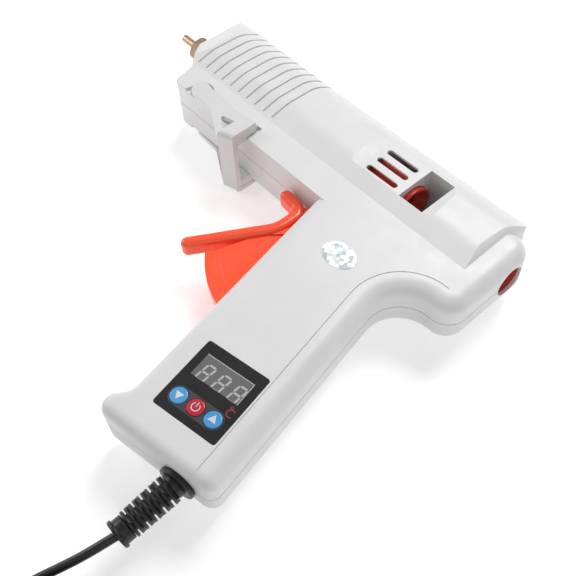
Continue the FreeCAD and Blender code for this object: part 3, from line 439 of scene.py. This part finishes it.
def digits():
    """Three unlit digits on the window, with a point after each, and a painted highlight along two
    edges of the window.
    """
    bm = bmesh.new()
    scale, slant, pitch = 3.6, 0.14, 7.5
    for k in (-1, 0, 1):
        shapes = [[(x * scale, y * scale) for x, y in bar] for bar in segments()]
        dot = [(0.78 * scale + 0.33 * math.cos(a), -scale + 0.33 * math.sin(a))
               for a in (math.pi * i / 8 for i in range(16))]
        for shape in shapes + [dot]:
            leaning = [(x + y * slant + k * pitch + 0.9, y) for x, y in shape]
            slab(bm, panel_points(leaning, 0, DIGITS_UP), LENS_TOP - 0.02 * MM,
                 LENS_TOP + 0.03 * MM)
    piece("display_digits", bm, "segment", "housing", smooth=False)
    # painted highlight: two pale bars along the window's top and right edges, in the digits' grey
    width, height, line = 22.6, 10.4, 0.4
    highlight_bars = [[(-width / 2, height / 2 - line), (width / 2, height / 2 - line),
            (width / 2, height / 2), (-width / 2, height / 2)],
           [(width / 2 - line, -height / 2), (width / 2, -height / 2),
            (width / 2, height / 2 - line), (width / 2 - line, height / 2 - line)]]
    marks("window_painted_highlight", [panel_points(bar, 0, WINDOW_UP) for bar in highlight_bars], "segment", "housing",
          LENS_TOP)


def ring_shape(radius, width, first, last, steps=24):
    """An open ring's outline between two angles in degrees."""
    angles = [math.radians(first + (last - first) * k / steps) for k in range(steps + 1)]
    outer = [(radius * math.cos(a), radius * math.sin(a)) for a in angles]
    inner = [((radius - width) * math.cos(a), (radius - width) * math.sin(a))
             for a in reversed(angles)]
    return outer + inner


MARK_THICK = 0.05 * MM


def marks(name, shapes, finish, body, low):
    """Flat marks printed on a surface whose height is low."""
    bm = bmesh.new()
    for shape in shapes:
        slab(bm, shape, low - MARK_THICK / 2, low + MARK_THICK)
    return piece(name, bm, finish, body, smooth=False)


BUTTON_UP, BUTTON_PITCH, BUTTON_SHIFT = -8.6, 8.2, -0.2


def surround(inner, outer, side):
    """Half of the pale band round the three buttons, a painted reflection, on one side of their
    row.
    """
    def arc(k, radius, first, last, steps=14):
        angles = [math.radians(first + (last - first) * i / steps) for i in range(steps + 1)]
        return [(k * BUTTON_PITCH + radius * math.cos(a), side * radius * math.sin(a))
                for a in angles]
    outline = arc(-1, outer, 180, 90) + arc(1, outer, 90, 0)
    for k in (1, 0, -1):
        outline += arc(k, inner, 0, 180)
    return outline


def panel_marks():
    """The pale band round the buttons, which is a painted reflection, the degree sign with its C,
    and the marks on the buttons.
    """
    # the band is a painted reflection on the gloss panel, laid on it as a thin pale slab
    band = [panel_points(surround(3.68, 4.15, side), BUTTON_SHIFT, BUTTON_UP) for side in (-1, 1)]
    marks("button_painted_reflection", band, "painted_reflection", "housing", PANEL_TOP)
    degree = [ring_shape(0.62, 0.28, 0, 180), ring_shape(0.62, 0.28, 180, 360)]
    letter = [ring_shape(1.8, 0.45, 48, 312)]
    shapes = [panel_points(s, 10.5, -0.9) for s in degree] + [panel_points(s, 11.5, -3.1)
                                                             for s in letter]
    marks("degree_mark", shapes, "red_print", "housing", PANEL_TOP)
    triangle = [(-1.9, -1.15), (1.9, -1.15), (0, 2.0)]
    button_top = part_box("power_button")[1].z
    for name, k, turn in (("down_button", -1, math.pi), ("up_button", 1, 0.0)):
        spot = k * BUTTON_PITCH + BUTTON_SHIFT
        marks(name + "_arrow", [panel_points(triangle, spot, BUTTON_UP, turn)], "white_print", name,
              button_top)
    power = [ring_shape(1.85, 0.42, 125, 415, 32), [(-0.21, 0.1), (0.21, 0.1), (0.21, 2.2),
                                                    (-0.21, 2.2)]]
    marks("power_mark", [panel_points(s, BUTTON_SHIFT, BUTTON_UP) for s in power], "white_print",
          "power_button", button_top)


def rounded_box(width, height, radius, steps=6):
    """A rounded rectangle's outline about 0, 0."""
    points = []
    for sx, sy, first in ((1, 1, 0), (-1, 1, 90), (-1, -1, 180), (1, -1, 270)):
        for k in range(steps + 1):
            a = math.radians(first + 90 * k / steps)
            points.append((sx * (width / 2 - radius) + radius * math.cos(a),
                           sy * (height / 2 - radius) + radius * math.sin(a)))
    return points


# ------------------------------------------------------------------ lead

CORD_DIAMETER = 3.6
BOOT_START = at(-23.24, -153.74, 0)
BOOT_END = at(-23.2, -181.8, -3.2)
CORD_ROUTE = [(-23.2, -181.8, -3.2), (-25.6, -192.0, -5.6), (-30.0, -202.4, -10.2),
              (-34.4, -211.5, -14.4), (-36.6, -222.0, -16.4)]
TAIL_ROUTE = [(13.2, -243.9, -5.6), (18.4, -237.9, -8.6), (21.6, -232.0, -11.3)]
# where in each turn the lead steps outwards, up at the inside, inwards and up at the outside
STEP_OUT, UP_INSIDE, STEP_IN, UP_OUTSIDE = (0.19, 0.50), (0.50, 0.69), (0.69, 1.0), (0.0, 0.19)
COIL_TURNS, POINTS_A_TURN = 10.382, 16


def coil_points():
    """Turns that lie beside each other in four layers, from the outside at the bottom."""
    low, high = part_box("cord_coil")
    centre = (low + high) / 2
    wire = CORD_DIAMETER * MM
    outer = (high.x - low.x) / 2 - wire / 2
    inside_corner = 0.75 + 0.25 * math.cos(2 * math.pi / POINTS_A_TURN)

    def eased(turn, sector):
        share = min(max((turn - sector[0]) / (sector[1] - sector[0]), 0), 1)
        return 0.5 - 0.5 * math.cos(math.pi * share)

    # every step as (first turn number, sector, change of ring, change of layer)
    steps = [(0, STEP_IN, 1, 0), (1, STEP_IN, 1, 0), (2, UP_INSIDE, 0, 1), (3, STEP_OUT, -1, 0),
             (4, STEP_OUT, -1, 0), (5, UP_OUTSIDE, 0, 1), (5, STEP_IN, 1, 0), (6, STEP_IN, 1, 0),
             (7, UP_INSIDE, 0, 1), (8, STEP_OUT, -1, 0), (9, STEP_OUT, -1, 0)]
    points = []
    for k in range(1, int(COIL_TURNS * POINTS_A_TURN) + 1):
        turn = k / POINTS_A_TURN
        ring = sum(change * eased(turn - number, sector) for number, sector, change, _ in steps)
        layer = sum(change * eased(turn - number, sector) for number, sector, _, change in steps)
        radius = (outer - ring * wire) / inside_corner
        angle = math.pi + 2 * math.pi * turn
        points.append((centre.x + radius * math.cos(angle), centre.y + radius * math.sin(angle),
                       low.z + wire / 2 + layer * wire))
    return points


def smooth_curve(name, points, radius):
    """A round cord along points."""
    data = bpy.data.curves.new(name, "CURVE")
    data.dimensions = "3D"
    data.bevel_depth, data.bevel_resolution, data.resolution_u = radius, 6, 6
    data.use_fill_caps = True
    spline = data.splines.new("NURBS")
    spline.points.add(len(points) - 1)
    for spot, point in zip(spline.points, points):
        spot.co = (*point, 1)
    spline.order_u = 3
    spline.use_endpoint_u = True
    made = bpy.data.objects.new(name, data)
    bpy.context.scene.collection.objects.link(made)
    return made


def mains_lead(boot):
    entry = at(-34.6, -233.0, -16.4)
    points = [at(*p) for p in CORD_ROUTE] + [entry] + coil_points() + [at(*p) for p in TAIL_ROUTE]
    lead = smooth_curve("mains_lead", points, CORD_DIAMETER / 2 * MM)
    lead.data.materials.append(FINISH["cord"])
    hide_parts("power_cord", "cord_coil", "plug_tail")
    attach(lead, "housing")
    tie_band()


def tie_band():
    """A twisted wire tie round the coil's section."""
    low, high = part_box("cord_coil")
    centre = (low + high) / 2
    outer = (high.x - low.x) / 2
    inner = outer - 3 * CORD_DIAMETER * MM
    angle = math.radians(120)
    out = Vector((math.cos(angle), math.sin(angle), 0))
    along = Vector((-math.sin(angle), math.cos(angle), 0))
    gap, thick, half = 0.15 * MM, 0.5 * MM, 2.2 * MM
    bm = bmesh.new()
    middle = (outer + inner) / 2
    width, height = outer - inner, high.z - low.z
    loops = []
    for grow, side in ((gap, 1), (gap, -1), (gap + thick, -1), (gap + thick, 1)):
        loop = []
        for x, z in rounded_box((width + 2 * grow) / MM, (height + 2 * grow) / MM, 1.7, 5):
            spot = centre + out * (middle + x * MM) + along * (side * half)
            spot.z = max(centre.z + z * MM, 0.02 * MM)
            loop.append(bm.verts.new(spot))
        loops.append(loop)
    count = len(loops[0])
    for a in range(4):
        b = (a + 1) % 4
        for i in range(count):
            j = (i + 1) % count
            bm.faces.new((loops[a][i], loops[a][j], loops[b][j], loops[b][i]))
    return piece("cord_tie_band", bm, "rubber", "housing", ["cord_tie"])


BOOT_RINGS, RING_PITCH, RING_THICK, FIRST_RING = 10, 1.85, 1.1, 5.0
BRIDGE_HALF, BRIDGE_INNER, BRIDGE_RUN = 1.9 * MM, 2.8 * MM, 1.15 * MM


def strain_relief():
    """Flange, neck, rings with bridges between them, collar and end lip, in one rubber piece."""
    axis = BOOT_END - BOOT_START
    way = axis.normalized()
    down = Vector((math.sin(math.radians(11)), -math.cos(math.radians(11)), 0))
    bm = bmesh.new()
    hole = CORD_DIAMETER / 2 + 0.03
    flange = [(a * MM, r * MM) for a, r in rounded_profile(4.0, 7.75, 0.05, 2.3, 0.7)]
    lathe(bm, flange, BOOT_START, down)
    held = [(a * MM, r * MM) for a, r in rounded_profile(hole, 5.05, -3.9, 0.6, 0.3)]
    lathe(bm, held, BOOT_START, down)
    length = axis.length / MM
    core = [(a * MM, r * MM) for a, r in rounded_profile(hole, 3.35, 0.4, length - 0.4, 0.2)]
    lathe(bm, core, BOOT_START, way, 32)
    neck = [(a * MM, r * MM) for a, r in rounded_profile(3.0, 5.0, 1.2, 4.0, 0.5)]
    lathe(bm, neck, BOOT_START, way)
    side = Vector((1, 0, 0)).cross(way).normalized()
    other = way.cross(side)
    for k in range(BOOT_RINGS):
        low = FIRST_RING + k * RING_PITCH
        radius = 5.9 - 0.045 * k
        ring = [(a * MM, r * MM)
                for a, r in rounded_profile(3.0, radius, low, low + RING_THICK, 0.3)]
        lathe(bm, ring, BOOT_START, way)
        across = side if k % 2 else other
        for sign in (-1, 1):
            bridge(bm, BOOT_START + way * (low - 0.95) * MM, way, across * sign, radius)
    collar = FIRST_RING + BOOT_RINGS * RING_PITCH - 0.4
    for low, high, radius, rounding in ((collar, length - 1.2, 5.0, 0.4),
                                        (length - 1.7, length, 5.75, 0.6)):
        lathe(bm, [(a * MM, r * MM) for a, r in rounded_profile(hole, radius, low, high,
                                                               rounding)], BOOT_START, way)
    return piece("strain_relief_boot", bm, "rubber", "housing", ["strain_relief"])


def bridge(bm, start, way, out, radius):
    """A block that joins one ring of the boot to the next."""
    aside = way.cross(out).normalized()
    half, inner, outer = BRIDGE_HALF, BRIDGE_INNER, (radius - 0.35) * MM
    corners = []
    for along in (0, BRIDGE_RUN):
        for r, s in ((inner, -half), (outer, -half * 0.8), (outer, half * 0.8), (inner, half)):
            corners.append(bm.verts.new(start + way * along + out * r + aside * s))
    a, b = corners[:4], corners[4:]
    bm.faces.new(a)
    bm.faces.new(b[::-1])
    for i in range(4):
        j = (i + 1) % 4
        bm.faces.new((a[i], b[i], b[j], a[j]))


# ------------------------------------------------------------------ the whole scene

camera()
surroundings()
finish_cad_nodes()
mains_lead(strain_relief())
digits()
panel_marks()
